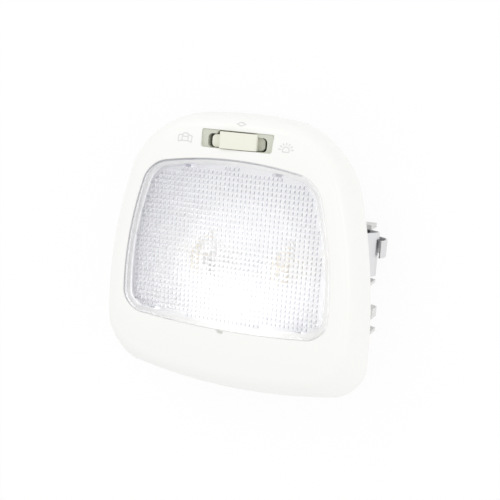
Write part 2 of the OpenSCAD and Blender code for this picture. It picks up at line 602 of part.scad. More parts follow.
module housing_screws() color("silver") at_screws() {
    difference() {
        translate([0, 0, head_seat - 2.2]) cylinder(r = head_r, h = 2.2);
        for (a = [0, 90]) translate([0, 0, head_seat - 2.2]) rotate([0, 0, a]) cube([3.6, 0.8, 2], center = true);
    }
    translate([0, 0, head_seat]) cylinder(d = screw_d, h = 16);
}

bezel();
lens();
rear_housing();
reflector();
bulb_glass();
bulb_cap_left();
bulb_cap_right();
bulb_filament();
lamp_strip();
feed_strip();
ground_terminal();
door_terminal();
switch_body();
rocker_button();
detent_spring();
detent_plunger();
contact_bridge();
clip_left();
clip_right();
housing_screws();
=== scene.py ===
import math

import bmesh
import bpy
import numpy as np
from mathutils import Matrix, Vector
from mathutils.bvhtree import BVHTree
from mathutils.geometry import delaunay_2d_cdt


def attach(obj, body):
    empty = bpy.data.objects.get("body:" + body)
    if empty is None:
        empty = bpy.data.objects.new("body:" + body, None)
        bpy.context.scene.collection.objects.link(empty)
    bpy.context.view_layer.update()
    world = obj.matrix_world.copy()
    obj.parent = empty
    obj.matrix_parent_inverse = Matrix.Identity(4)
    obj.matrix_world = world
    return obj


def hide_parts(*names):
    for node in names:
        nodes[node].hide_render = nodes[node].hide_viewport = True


# Looks of the car dome light. It lies on its back and the camera looks down at its lens.
# Sizes are in millimetres: x to the right, y from the lens towards the switch, z out of the lens.
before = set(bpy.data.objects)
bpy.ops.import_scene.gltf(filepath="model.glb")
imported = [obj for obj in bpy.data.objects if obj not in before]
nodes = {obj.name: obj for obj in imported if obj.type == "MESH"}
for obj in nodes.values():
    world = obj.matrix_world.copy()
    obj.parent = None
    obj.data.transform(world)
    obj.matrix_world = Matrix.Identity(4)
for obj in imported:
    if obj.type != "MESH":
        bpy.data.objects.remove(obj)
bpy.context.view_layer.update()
mm = 0.001  # metres in a millimetre

# Camera, with its turns in radians and its clip distances in metres
cameraPlace = {"yaw": 0.3725, "pitch": 0.1912, "roll": 0.0713, "distance": 401.0, "shiftRight": -9.49,
               "shiftUp": -2.09, "aimY": 1.85, "aimZ": 38.5, "photoPx": 500, "focalPx": 952.7,
               "sensor": 36, "clip": (0.01, 20)}


# Stands the camera where the photograph's camera stood.
def makeCamera(c):
    cy, sy, cp, sp = math.cos(c["yaw"]), math.sin(c["yaw"]), math.cos(c["pitch"]), math.sin(c["pitch"])
    cr, sr = math.cos(c["roll"]), math.sin(c["roll"])
    back = Vector((sy * cp, sp, cy * cp))
    right = Vector((cy, 0, -sy))
    up = back.cross(right)
    right, up = right * cr + up * sr, up * cr - right * sr
    place = back * c["distance"] - right * c["shiftRight"] - up * c["shiftUp"]
    place += Vector((0, c["aimY"], c["aimZ"]))
    data = bpy.data.cameras.new("photoCamera")
    data.sensor_width = c["sensor"]
    data.lens = c["focalPx"] / c["photoPx"] * c["sensor"]
    data.clip_start, data.clip_end = c["clip"]
    obj = bpy.data.objects.new("photoCamera", data)
    bpy.context.scene.collection.objects.link(obj)
    turn = Matrix((right, up, back)).transposed().to_4x4()
    obj.matrix_world = Matrix.Translation(place * mm) @ turn
    bpy.context.scene.camera = obj


makeCamera(cameraPlace)
print("camera done")

# Outlines, with the same values as the solids. Each is a bowed trapezoid with round corners:
# [half width at the top, half width at the bottom, height, upper radius, lower radius, bow of the top,
# bow of the bottom, bow of the sides, middle y, z].
rim = np.array([45, 60.5, 108.5, 27, 11, 5.5, 7.6, 5.5, 1.05, 24.0])
shoulder = np.array([40.3, 54.8, 101.5, 22, 13, 4.5, 7.6, 7, 4.2, 39.2])
lip = np.array([37.4, 46.55, 65, 8.3, 7.3, 4.55, 2.85, 3.45, 5.05, 41.8])  # edge of the lens's window
lipHeight, lipMidY, lipZ = lip[2], lip[8], lip[9]
rimZ = rim[9]
leastRadius = 0.8  # of a corner that is moved inwards
seatZ = 38.6  # ledge that carries the lens
flangeZ = 34.6  # top of the reflector's flange
towerZ = 14.0  # top of the housing's screw towers
faceBulge = 0.5  # of the face between its round shoulder and the lip
roundShare = {"start": 0.55, "end": 0.3}  # of the ways from the rim to the shoulder and on to the lip

# The switch: its slot and the place of its rocker. The knob's top stands at rise over the recess, and
# the rocker's pivot lies at drop below that. Lean is in degrees.
switchSize = {"x": 1.6, "y": 50.0, "slotW": 31.5, "slotH": 7.4, "slotR": 1.2, "openingW": 26.2,
              "openingR": 1.9, "knobRoom": 18.6, "shelf": 1.5, "recess": 1.2, "rise": 2.6, "drop": 9.4,
              "bodyUp": 3.0, "lean": 7.0}


def mix(a, b, t):
    return a * (1 - t) + b * t


# A point, or an outline, on the curve from a to c that is drawn towards b.
def bend(a, b, c, t):
    return a * (1 - t) ** 2 + b * 2 * t * (1 - t) + c * t * t


# How far a side leans outwards for each millimetre down.
def slope(p):
    return (p[1] - p[0]) / p[2]


# The outline moved inwards by d, or outwards where d is below zero.
def inset(p, d):
    halfTop, halfLow, height, topR, lowR = p[:5]
    s = slope(p)
    k = math.sqrt(1 + s * s)
    moved = [halfTop + (s - k) * d, halfLow - (s + k) * d, height - 2 * d]
    return np.array([*moved, max(topR - d, leastRadius), max(lowR - d, leastRadius), *p[5:]])


def atZ(p, z):
    return np.array([*p[:9], z])


# Points of an outline: four arcs joined by sides, which are then bowed.
def outline(p, arcSteps=22, sideSteps=22):
    halfTop, halfLow, height, topR, lowR, topBow, lowBow, sideBow, midY = p[:9]
    s = slope(p)
    k = math.sqrt(1 + s * s)
    lean = math.degrees(math.atan(s))
    upX, upY = halfTop + topR * (s - k), height / 2 - topR
    lowX, lowY = halfLow - lowR * (s + k), lowR - height / 2
    corners = ((upX, upY, topR, lean, 90), (-upX, upY, topR, 90, 180 - lean),
               (-lowX, lowY, lowR, 180 - lean, 270), (lowX, lowY, lowR, 270, 360 + lean))
    arcs = []
    for cx, cy, r, first, last in corners:
        t = np.radians(np.linspace(first, last, arcSteps + 1))
        arcs.append(np.stack([cx + r * np.cos(t), cy + r * np.sin(t)], 1))
    points = []
    for i, arc in enumerate(arcs):
        following = arcs[(i + 1) % 4][0]
        points.extend(arc)
        points += [mix(arc[-1], following, j / sideSteps) for j in range(1, sideSteps)]
    x, y = np.array(points).T
    v = 2 * y / height  # from -1 at the bottom to 1 at the top
    u = x / (halfTop + (halfLow - halfTop) * (1 - v) / 2)  # from -1 at the left to 1 at the right
    bow = np.where(v > 0, topBow, lowBow)
    bowed = x + np.sign(x) * sideBow * (1 - v * v) * np.minimum(1, 2 * np.abs(u))
    return np.stack([bowed, y + midY + v * bow * (1 - u * u)], 1)


# The points of an outline with a height for all of them or one for each.
def atHeight(xy, z):
    return np.column_stack([xy, np.broadcast_to(z, len(xy))])


def ring(p, arcSteps=22, sideSteps=22):
    return atHeight(outline(p, arcSteps, sideSteps), p[9])


def roundedBox(w, h, r):
    return outline(np.array([w / 2, w / 2, h, r, r, 0, 0, 0, 0, 0.0]), 10, 2)


def halfWidth(p, y):
    v = 2 * (y - p[8]) / p[2]
    return p[0] + (p[1] - p[0]) * (1 - v) / 2 + p[7] * (1 - v * v)


# The y of an outline's upper or lower edge at x.
def edgeY(p, x, up):
    halfTop, halfLow, height, _, _, topBow, lowBow, _, midY = p[:9]
    if up:
        return midY + height / 2 + topBow * (1 - (x / halfTop) ** 2)
    return midY - height / 2 - lowBow * (1 - (x / halfLow) ** 2)


roundStart = mix(rim, shoulder, roundShare["start"])
roundEnd = mix(shoulder, lip, roundShare["end"])


def bulgeAt(t):
    return faceBulge * 4 * t * (1 - t)


# Outline of the face at a share of the way from its round shoulder to the lip.
def faceAt(t):
    p = mix(roundEnd, lip, t)
    return atZ(p, p[9] + bulgeAt(t))


# Height of the face on its middle line, between the lip and the upper edge.
def faceZ(y):
    start, end = edgeY(roundEnd, 0, True), edgeY(lip, 0, True)
    t = (y - start) / (end - start)
    return mix(roundEnd[9], lipZ, t) + bulgeAt(t)


recessZ = faceZ(switchSize["y"]) - switchSize["recess"]
pivotZ = recessZ + switchSize["rise"] - switchSize["drop"]
bodyTop = pivotZ + switchSize["bodyUp"]


# Turns the faces outwards and rounds the shading of edges below the angle in degrees, or none at 0.
def finishMesh(obj, look=None, smooth=35):
    mesh = obj.data
    bm = bmesh.new()
    bm.from_mesh(mesh)
    bmesh.ops.recalc_face_normals(bm, faces=bm.faces)
    bm.to_mesh(mesh)
    bm.free()
    if smooth:
        mesh.shade_smooth()
        mesh.set_sharp_from_angle(angle=math.radians(smooth))
    if look:
        mesh.materials.clear()
        mesh.materials.append(look)


def newObject(name, points, faces, look=None, smooth=35):
    mesh = bpy.data.meshes.new(name)
    mesh.from_pydata([tuple(v) for v in np.asarray(points, float) * mm], [], [tuple(f) for f in faces])
    mesh.validate()
    obj = bpy.data.objects.new(name, mesh)
    bpy.context.scene.collection.objects.link(obj)
    finishMesh(obj, look, smooth)
    return obj


# Points and faces of a solid that runs from ring to ring, with closed ends or back to its first ring.
def skinData(rings, loop=False):
    size, count = len(rings[0]), len(rings)
    faces = []
    for i in range(count if loop else count - 1):
        k = (i + 1) % count
        for j in range(size):
            h = (j + 1) % size
            faces.append((i * size + j, i * size + h, k * size + h, k * size + j))
    if not loop:
        faces.append(tuple(range(size - 1, -1, -1)))
        faces.append(tuple((count - 1) * size + j for j in range(size)))
    return np.concatenate(rings), faces


def skin(name, rings, loop=False, look=None, smooth=35):
    return newObject(name, *skinData(rings, loop), look, smooth)


# Points and faces of a profile of (radius, height) points, turned round the z or the y direction.
def lathe(profile, steps, centre=(0, 0, 0), alongY=False, leastR=1e-4):
    t = np.linspace(0, 2 * math.pi, steps, endpoint=False)
    rings = []
    for radius, height in profile:
        r = max(radius, leastR)
        c, s, along = r * np.cos(t), r * np.sin(t), np.full(steps, height)
        rings.append(np.stack((s, along, c) if alongY else (c, s, along), 1) + centre)
    return skinData(rings)


wideSides, slimSides = 40, 32  # flats round a wide and round a slim rod


def rod(radius, start, stop, steps, centre=(0, 0, 0), alongY=False):
    return lathe([(0, start), (radius, start), (radius, stop), (0, stop)], steps, centre, alongY)


def boxData(lo, hi):
    x, y, z = zip(lo, hi)
    points = [(a, b, c) for c in z for b in y for a in x]
    return points, [(0, 2, 3, 1), (4, 5, 7, 6), (0, 1, 5, 4), (2, 6, 7, 3), (0, 4, 6, 2), (1, 3, 7, 5)]


# Makes what the modifiers show the object's own mesh.
def applied(obj):
    bpy.context.view_layer.update()
    graph = bpy.context.evaluated_depsgraph_get()
    mesh = bpy.data.meshes.new_from_object(obj.evaluated_get(graph))
    obj.modifiers.clear()
    obj.data = mesh


# Fuses the tool with the object or cuts it out, and removes the tool.
def carve(obj, tool, operation):
    mod = obj.modifiers.new("carve", "BOOLEAN")
    mod.operation = operation
    mod.solver = "EXACT"
    mod.object = tool
    applied(obj)
    bpy.data.objects.remove(tool)


def fuse(obj, tool):
    carve(obj, tool, "UNION")


def cut(obj, tool):
    carve(obj, tool, "DIFFERENCE")


def addBevel(obj, width, segments, angle):
    mod = obj.modifiers.new("edges", "BEVEL")
    mod.width = width * mm
    mod.segments = segments
    mod.limit_method = "ANGLE"
    mod.angle_limit = math.radians(angle)


def joined(name, objs):
    bm = bmesh.new()
    for o in objs:
        bm.from_mesh(o.data)
    mesh = bpy.data.meshes.new(name)
    bm.to_mesh(mesh)
    bm.free()
    for look in objs[0].data.materials:
        mesh.materials.append(look)
    obj = bpy.data.objects.new(name, mesh)
    bpy.context.scene.collection.objects.link(obj)
    for o in objs:
        bpy.data.objects.remove(o)
    return obj


def placed(obj, body, slot, *replaced):
    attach(obj, body)
    if replaced:
        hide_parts(*replaced)


# A new node with its settings and its inputs' values, by name or number.
def addNode(tree, kind, inputs=None, **settings):
    node = tree.nodes.new(kind)
    for key, value in settings.items():
        setattr(node, key, value)
    for key, value in (inputs or {}).items():
        node.inputs[key].default_value = value
    return node


# Colour stops of a ramp, in rising order.
def setStops(ramp, stops):
    elements = ramp.color_ramp.elements
    for k, (at, colour) in enumerate(stops):
        stop = elements[k] if k < 2 else elements.new(at)
        stop.position, stop.color = at, (*colour, 1)


# Materials. Grain is a fine bump and mottle a slow change of the roughness.
grainLook = {"detail": 3, "depth": 0.05, "mottleScale": 60, "mottleDetail": 4, "leastRough": 0.02}


# The shader's further inputs are named with _ in place of a space.
def makeMaterial(name, colour, rough, metal=0.0, grain=0, grainSize=0.3, mottle=0, **inputs):
    look = bpy.data.materials.new(name)
    look.use_nodes = True
    tree, link = look.node_tree, look.node_tree.links.new
    bsdf = tree.nodes["Principled BSDF"]
    bsdf.inputs["Base Color"].default_value = (*colour, 1)
    bsdf.inputs["Roughness"].default_value = rough
    bsdf.inputs["Metallic"].default_value = metal
    for key, value in inputs.items():
        bsdf.inputs[key.replace("_", " ")].default_value = value
    coords = tree.nodes.new("ShaderNodeTexCoord")
    if grain:
        size = {"Scale": 1 / (grainSize * mm), "Detail": grainLook["detail"]}
        noise = addNode(tree, "ShaderNodeTexNoise", size)
        bump = addNode(tree, "ShaderNodeBump", {"Strength": grain, "Distance": grainLook["depth"] * mm})
        link(coords.outputs["Object"], noise.inputs["Vector"])
        link(noise.outputs["Fac"], bump.inputs["Height"])
        link(bump.outputs["Normal"], bsdf.inputs["Normal"])
    if mottle:
        size = {"Scale": grainLook["mottleScale"], "Detail": grainLook["mottleDetail"]}
        broad = addNode(tree, "ShaderNodeTexNoise", size)
        span = {"To Min": max(rough - mottle, grainLook["leastRough"]), "To Max": rough + mottle}
        gloss = addNode(tree, "ShaderNodeMapRange", span)
        link(coords.outputs["Object"], broad.inputs["Vector"])
        link(broad.outputs["Fac"], gloss.inputs["Value"])
        link(gloss.outputs["Result"], bsdf.inputs["Roughness"])
    return look


# A ramp of painted glow that runs from a spot on the light outwards, as far as the reach.
def spotRamp(tree, c):
    link = tree.links.new
    x, y = c["spot"]
    coords = tree.nodes.new("ShaderNodeTexCoord")
    flat = addNode(tree, "ShaderNodeVectorMath", {1: (1, 1, 0)}, operation="MULTIPLY")
    away = addNode(tree, "ShaderNodeVectorMath", {1: (x * mm, y * mm, 0)}, operation="DISTANCE")
    span = addNode(tree, "ShaderNodeMapRange", {"From Max": c["reach"] * mm})
    ramp = tree.nodes.new("ShaderNodeValToRGB")
    ramp.color_ramp.interpolation = "EASE"
    setStops(ramp, c["glow"])
    link(coords.outputs["Object"], flat.inputs[0])
    link(flat.outputs[0], away.inputs[0])
    link(away.outputs["Value"], span.inputs["Value"])
    link(span.outputs["Result"], ramp.inputs["Fac"])
    return ramp


dishPaintedGlow = {"spot": (-7, -26), "reach": 44,
            "glow": ((0.15, (0.25, 0.25, 0.25)), (0.5, (0.10, 0.10, 0.105)), (0.9, (0.03, 0.03, 0.04)))}


# Paints glow on the dish, which is no lamp: it gives off light round a bright spot, less and less towards its
# edge.
def paintDishGlow(look, c):
    tree = look.node_tree
    bsdf = tree.nodes["Principled BSDF"]
    bsdf.inputs["Emission Strength"].default_value = 1
    tree.links.new(spotRamp(tree, c).outputs["Color"], bsdf.inputs["Emission Color"])


# Painted shade and painted glow on the lens. The prisms' faces that look along side are darkened by painted
# shade, from none at the start of its span to full at its end. The lens is no lamp, yet it glows: the painted
# glow falls off from the spot. Upright walls get wallGlow besides, which is gone where the z of their normal
# reaches wallEnd.
facetPaintedLight = {"side": (-1.0, 0.5, 0), "shadeColour": (0.22, 0.23, 0.28), "shadeSpan": (0.05, 0.36),
             "spot": (9, -4), "reach": 54, "wallGlow": 0.18, "wallEnd": 0.6,
             "glow": ((0.0, (0.19, 0.19, 0.188)), (0.25, (0.18, 0.18, 0.178)), (0.47, (0.147, 0.147, 0.145)),
                      (0.65, (0.098, 0.098, 0.097)), (1.0, (0.056, 0.056, 0.061)))}


def paintFacetShadeAndGlow(look, c):
    tree, link = look.node_tree, look.node_tree.links.new
    bsdf = tree.nodes["Principled BSDF"]
    shape = tree.nodes.new("ShaderNodeNewGeometry")
    side = addNode(tree, "ShaderNodeVectorMath", {1: c["side"]}, operation="DOT_PRODUCT")
    tone = tree.nodes.new("ShaderNodeValToRGB")
    start, full = c["shadeSpan"]
    setStops(tone, ((start, (1, 1, 1)), (full, c["shadeColour"])))
    parts = tree.nodes.new("ShaderNodeSeparateXYZ")
    steep = addNode(tree, "ShaderNodeMath", operation="ABSOLUTE")
    span = {"From Max": c["wallEnd"], "To Min": c["wallGlow"], "To Max": 0}
    wall = addNode(tree, "ShaderNodeMapRange", span)
    glow = spotRamp(tree, c)
    total = addNode(tree, "ShaderNodeVectorMath", operation="ADD")
    link(shape.outputs["Normal"], side.inputs[0])
    link(side.outputs["Value"], tone.inputs["Fac"])
    link(tone.outputs["Color"], bsdf.inputs["Base Color"])
    link(shape.outputs["Normal"], parts.inputs[0])
    link(parts.outputs["Z"], steep.inputs[0])
    link(steep.outputs[0], wall.inputs["Value"])
    link(glow.outputs["Color"], total.inputs[0])
    link(wall.outputs["Result"], total.inputs[1])
    link(total.outputs[0], bsdf.inputs["Emission Color"])
    bsdf.inputs["Emission Strength"].default_value = 1


# Painted shade in the slot: its walls and floor are tinted a darker grey-green. The tint fills a box that
# stands out from the slot by margin and runs reach up and down from a middle that lies at down below the
# recess.
recessPaintedShade = {"tone": (0.60, 0.62, 0.53), "margin": 0.2, "down": 4, "reach": 4.5}


def paintRecessShade(look, c):
    tree, link = look.node_tree, look.node_tree.links.new
    bsdf = tree.nodes["Principled BSDF"]
    coords = tree.nodes.new("ShaderNodeTexCoord")
    parts = tree.nodes.new("ShaderNodeSeparateXYZ")
    link(coords.outputs["Object"], parts.inputs[0])
    limits = {"X": (switchSize["x"], switchSize["slotW"] / 2 + c["margin"]),
              "Y": (switchSize["y"], switchSize["slotH"] / 2 + c["margin"]),
              "Z": (recessZ - c["down"], c["reach"])}
    inside = None
    for axis, (middle, reach) in limits.items():
        near = addNode(tree, "ShaderNodeMath", {1: middle * mm, 2: reach * mm}, operation="COMPARE")
        link(parts.outputs[axis], near.inputs[0])
        if inside:
            both = addNode(tree, "ShaderNodeMath", operation="MULTIPLY")
            link(inside.outputs[0], both.inputs[0])
            link(near.outputs[0], both.inputs[1])
            near = both
        inside = near
    colours = {6: bsdf.inputs["Base Color"].default_value, 7: (*c["tone"], 1)}  # inputs of a colour mix
    blend = addNode(tree, "ShaderNodeMix", colours, data_type="RGBA")
    link(inside.outputs[0], blend.inputs[0])
    link(blend.outputs[2], bsdf.inputs["Base Color"])


plasticWhite = makeMaterial("plasticWhite", (0.87, 0.868, 0.85), 0.36, grain=0.25, grainSize=0.35,
                            mottle=0.04)
plasticRear = makeMaterial("plasticRear", (0.74, 0.74, 0.73), 0.5, grain=0.4, grainSize=0.4, mottle=0.06)
plasticBody = makeMaterial("plasticBody", (0.42, 0.44, 0.40), 0.5, grain=0.3, grainSize=0.4, mottle=0.05)
plasticKnob = makeMaterial("plasticKnob", (0.80, 0.80, 0.70), 0.34, grain=0.2, mottle=0.05)
# white plastic of the reflector, which gets a painted glow below
plasticPaintedGlow = makeMaterial("plasticPaintedGlow", (0.97, 0.97, 0.975), 0.35, mottle=0.04)
# clear lens; its prisms get a painted shade and a painted glow below
lensClear = makeMaterial("lensClear", (1.0, 1.0, 1.0), 0.18, Transmission_Weight=1.0, IOR=1.3,
                         Coat_Weight=1.0, Coat_Roughness=0.03)
glassClear = makeMaterial("glassClear", (1, 1, 1), 0.02, Transmission_Weight=1.0, IOR=1.46)
brass = makeMaterial("brass", (0.88, 0.79, 0.60), 0.42, 1.0, grain=0.2, mottle=0.08)
steel = makeMaterial("steel", (0.76, 0.76, 0.77), 0.32, 1.0, grain=0.2, grainSize=0.25, mottle=0.08)
nickel = makeMaterial("nickel", (0.92, 0.92, 0.90), 0.30, 1.0, mottle=0.05)
tungsten = makeMaterial("tungsten", (0.5, 0.5, 0.51), 0.5, 1.0, grain=0.3, grainSize=0.2)
printGrey = makeMaterial("printGrey", (0.69, 0.70, 0.69), 0.6, grain=0.1, grainSize=0.2)
# painted glow on the reflector's dish
paintDishGlow(plasticPaintedGlow, dishPaintedGlow)
# painted shade and painted glow on the lens's prisms
paintFacetShadeAndGlow(lensClear, facetPaintedLight)
# painted shade in the slot's recess
paintRecessShade(plasticWhite, recessPaintedShade)
print("materials done")

# Bezel. The ledge carries the lens and the collar runs down behind it to the reflector's flange. Bosses
# take the housing's screws, a guard stands round the rocker's opening, and the pry notch lets the lens
# be levered out. The shares and angles at the end place the rings of the wall and of the lip's edge.
bezelSize = {"wall": 2.4, "edgeR": 0.45, "edgeShare": 0.3, "roundSteps": 26, "faceSteps": 12, "backSteps": 8,
             "lipR": 0.55, "ledge": 2.2, "ledgeT": 1.5, "ledgeBack": 0.4, "collar": 1.6, "collarSink": 0.2,
             "screws": ((26, 43.3), (-26, 43.3), (40, -39), (-40, -39)), "bossR": 3, "bossUp": 1,
             "pilotR": 1.45, "pilotZ": (13, 27), "pryR": 1.7, "pryZ": (seatZ + 1, 50), "guard": 1.6,
             "guardR": 2.4, "guardTop": 0.6, "inWall": 0.02, "wallAt": (0.12, 0.4, 0.7),
             "lipAngles": (0, 22, 45, 68, 90)}


# The rings run from the rim over the face to the lip, down to the ledge and back inside the wall.
def bezelRings(b):
    e, wall, r = b["edgeR"], b["wall"], b["lipR"]
    part = e * b["edgeShare"]
    steps = [atZ(inset(rim, e), rimZ), atZ(inset(rim, part), rimZ + part), atZ(rim, rimZ + e)]
    steps += [mix(rim, roundStart, t) for t in b["wallAt"]]
    steps += [bend(roundStart, shoulder, roundEnd, t) for t in np.linspace(0, 1, b["roundSteps"] + 1)]
    steps += [faceAt(t) for t in np.linspace(0, 1, b["faceSteps"] + 1)[1:-1]]
    for a in np.radians(b["lipAngles"]):
        steps.append(atZ(inset(lip, -r * (1 - math.sin(a))), lipZ - r * (1 - math.cos(a))))
    ledge, back, collar = inset(lip, b["ledge"]), inset(lip, b["ledgeBack"]), inset(lip, -b["collar"])
    underLedge = seatZ - b["ledgeT"]
    steps += [atZ(lip, seatZ), atZ(ledge, seatZ), atZ(ledge, underLedge), atZ(back, underLedge),
              atZ(back, flangeZ), atZ(collar, flangeZ), atZ(collar, lipZ - wall - b["collarSink"])]
    start, end = inset(roundStart, wall), atZ(roundEnd, roundEnd[9] - wall)
    middle = atZ(inset(shoulder, wall), shoulder[9] - wall)
    steps += [bend(end, middle, start, t) for t in np.linspace(0, 1, b["backSteps"] + 1)]
    return [ring(p) for p in steps + [inset(rim, wall)]]


bezel = skin("bezelShell", bezelRings(bezelSize), loop=True, look=plasticWhite, smooth=0)
surface = BVHTree.FromObject(bezel, bpy.context.evaluated_depsgraph_get())
highAbove = 100  # well over the light


# Place, in metres, and normal of the face under a point, from the shell before it is cut.
def surfaceHit(x, y):
    return surface.ray_cast(Vector((x, y, highAbove)) * mm, Vector((0, 0, -1)))[:2]


slotSize = {"edgeR": 0.35, "edgeAngles": (15, 90), "edgeSteps": 5, "floorR": 0.25, "floorAngles": (0, 45, 90),
            "flare": 0.5, "above": 3, "overFace": 0.02}


# What the slot's recess takes away: a rounded upper edge that follows the face, straight walls and a
# flat floor with a rounded edge.
def slotCutter(s):
    r, f = s["edgeR"], s["floorR"]
    w, h, cornerR = switchSize["slotW"], switchSize["slotH"], switchSize["slotR"]

    def flat(grow):
        return roundedBox(w + 2 * grow, h + 2 * grow, cornerR + grow) + [switchSize["x"], switchSize["y"]]

    def faceUnder(xy):
        return np.array([surfaceHit(x, y)[0].z / mm for x, y in xy])

    wallZ, edgeZ = faceUnder(flat(0)), faceUnder(flat(r))
    rings = [atHeight(flat(r + s["flare"]), wallZ + s["above"]), atHeight(flat(r), edgeZ + s["overFace"])]
    for a in np.radians(np.linspace(*s["edgeAngles"], s["edgeSteps"])):
        down = r * (1 - math.cos(a))
        rings.append(atHeight(flat(r * (1 - math.sin(a))), mix(edgeZ, wallZ, math.sin(a)) - down))
    for a in np.radians(s["floorAngles"]):
        rings.append(atHeight(flat(-f * (1 - math.cos(a))), recessZ + f - f * math.sin(a)))
    return skin("slotCutter", rings)


# An upright block with round corners, centred on the switch or up from it.
def switchShape(w, h, r, z0, z1, up=0):
    xy = roundedBox(w, h, r) + [switchSize["x"], switchSize["y"] + up]
    return skin("tool", [atHeight(xy, z) for z in (z0, z1)])


# Opens the slot: the guard round the opening, the recess, and the two openings in its floor, which
# leave a shelf at the upper edge beside the knob.
def openSlot(obj, b, s):
    grow, guardTop = 2 * b["guard"], recessZ - b["guardTop"]
    fuse(obj, switchShape(s["openingW"] + grow, s["slotH"] + grow, b["guardR"], bodyTop, guardTop))
    cut(obj, slotCutter(slotSize))
    knobHole = (s["knobRoom"], s["slotH"] - b["inWall"], 0)
    wingHole = (s["openingW"], s["slotH"] - 2 * b["inWall"] - s["shelf"], -s["shelf"] / 2)
    for w, h, up in (knobHole, wingHole):
        cut(obj, switchShape(w, h, s["openingR"], bodyTop - 1, recessZ + 1, up))


bossTop = seatZ + bezelSize["bossUp"]
for x, y in bezelSize["screws"]:
    fuse(bezel, newObject("boss", *rod(bezelSize["bossR"], towerZ, bossTop, wideSides, (x, y, 0))))
openSlot(bezel, bezelSize, switchSize)
for x, y in bezelSize["screws"]:
    cut(bezel, newObject("pilot", *rod(bezelSize["pilotR"], *bezelSize["pilotZ"], slimSides, (x, y, 0))))
pryAt = (0, edgeY(lip, 0, False), 0)
cut(bezel, newObject("pry", *rod(bezelSize["pryR"], *bezelSize["pryZ"], wideSides, pryAt)))

# Posts that hold the switch's body. Head lists (radius, height over the body's top) up to the neck.
postSize = {"x": 18.4, "head": ((0, -2), (1.9, -2), (2.05, -1.6), (2.05, -1.2), (1.25, -1.2)), "neckR": 1.25,
            "underRecess": 0.7}
postTop = recessZ - postSize["underRecess"]
postProfile = [(r, bodyTop + z) for r, z in postSize["head"]] + [(postSize["neckR"], postTop), (0, postTop)]
posts = []
for side in (-1, 1):
    centre = (switchSize["x"] + side * postSize["x"], switchSize["y"], 0)
    posts.append(newObject("post", *lathe(postProfile, slimSides, centre), plasticWhite))
bezel = joined("bezelShell", [bezel] + posts)
finishMesh(bezel, plasticWhite, smooth=32)
placed(bezel, "light", "bezel_plastic", "bezel")
print("bezel done", len(bezel.data.polygons))

# Lens. The prisms stand on a grid inside the smooth border, under a slightly domed front; domeAt holds
# the shares of the way from the edge to the middle at which the dome has a ring. The two welds are the
# distances, in metres, at which points of the prisms and of the whole lens become one.
lensSize = {"gap": 0.3, "proud": 0.1, "thick": 1.6, "rim": 2.2, "seatGap": 0.02, "roundR": 0.35, "crown": 1.6,
            "domeIn": 0.8, "middleR": 3, "border": 2.26, "pitch": (1.92, 2.15), "depth": 0.55,
            "welds": (1e-6, 2e-6), "edgeAngles": (0, 20, 40, 60, 80),
            "domeAt": (0, 0.03, 0.07, 0.12, 0.18, 0.25, 0.33, 0.42, 0.52, 0.63, 0.75, 0.87, 1)}
lensTop = lipZ + lensSize["proud"]
lensUnder = lensTop - lensSize["thick"]


# A node tree that puts an open square pyramid, with its tip down, on every point and welds them.
def prismTree():
    tree = bpy.data.node_groups.new("prismField", "GeometryNodeTree")
    ids = {}
    for name, kind in (("Points", "Geometry"), ("Across", "Float"), ("Up", "Float"), ("Depth", "Float"),
                       ("Material", "Material")):
        socket = tree.interface.new_socket(name, in_out="INPUT", socket_type="NodeSocket" + kind)
        ids[name] = socket.identifier
    tree.interface.new_socket("Prisms", in_out="OUTPUT", socket_type="NodeSocketGeometry")
    start, end = addNode(tree, "NodeGroupInput"), addNode(tree, "NodeGroupOutput")
    unitSquare = {"Vertices": 4, "Radius Top": 0, "Radius Bottom": math.sqrt(0.5), "Depth": 1}
    cone = addNode(tree, "GeometryNodeMeshCone", unitSquare, fill_type="NONE")
    turn = addNode(tree, "GeometryNodeTransform", {"Rotation": (math.pi, 0, math.pi / 4)})
    size = addNode(tree, "ShaderNodeCombineXYZ")
    stretch = addNode(tree, "GeometryNodeTransform")
    spots = addNode(tree, "GeometryNodeInstanceOnPoints")
    real = addNode(tree, "GeometryNodeRealizeInstances")
    weld = addNode(tree, "GeometryNodeMergeByDistance", {"Distance": lensSize["welds"][0]})
    paint = addNode(tree, "GeometryNodeSetMaterial")
    link = tree.links.new
    for name, socket in (("Across", "X"), ("Up", "Y"), ("Depth", "Z")):
        link(start.outputs[name], size.inputs[socket])
    link(cone.outputs["Mesh"], turn.inputs["Geometry"])
    link(turn.outputs["Geometry"], stretch.inputs["Geometry"])
    link(size.outputs["Vector"], stretch.inputs["Scale"])
    link(start.outputs["Points"], spots.inputs["Points"])
    link(stretch.outputs["Geometry"], spots.inputs["Instance"])
    link(spots.outputs["Instances"], real.inputs["Geometry"])
    link(real.outputs["Geometry"], weld.inputs["Geometry"])
    link(weld.outputs["Geometry"], paint.inputs["Geometry"])
    link(start.outputs["Material"], paint.inputs["Material"])
    link(paint.outputs["Geometry"], end.inputs["Prisms"])
    return tree, ids


def insidePolygon(q, loop):
    x, y = q
    a, b = loop, np.roll(loop, -1, 0)
    crossed = (a[:, 1] > y) != (b[:, 1] > y)
    with np.errstate(divide="ignore", invalid="ignore"):
        at = a[:, 0] + (b[:, 0] - a[:, 0]) * (y - a[:, 1]) / (b[:, 1] - a[:, 1])
    return bool(np.count_nonzero(crossed & (x < at)) % 2)


def cellCorners(i, j):
    return [(i, j), (i + 1, j), (i + 1, j + 1), (i, j + 1)]


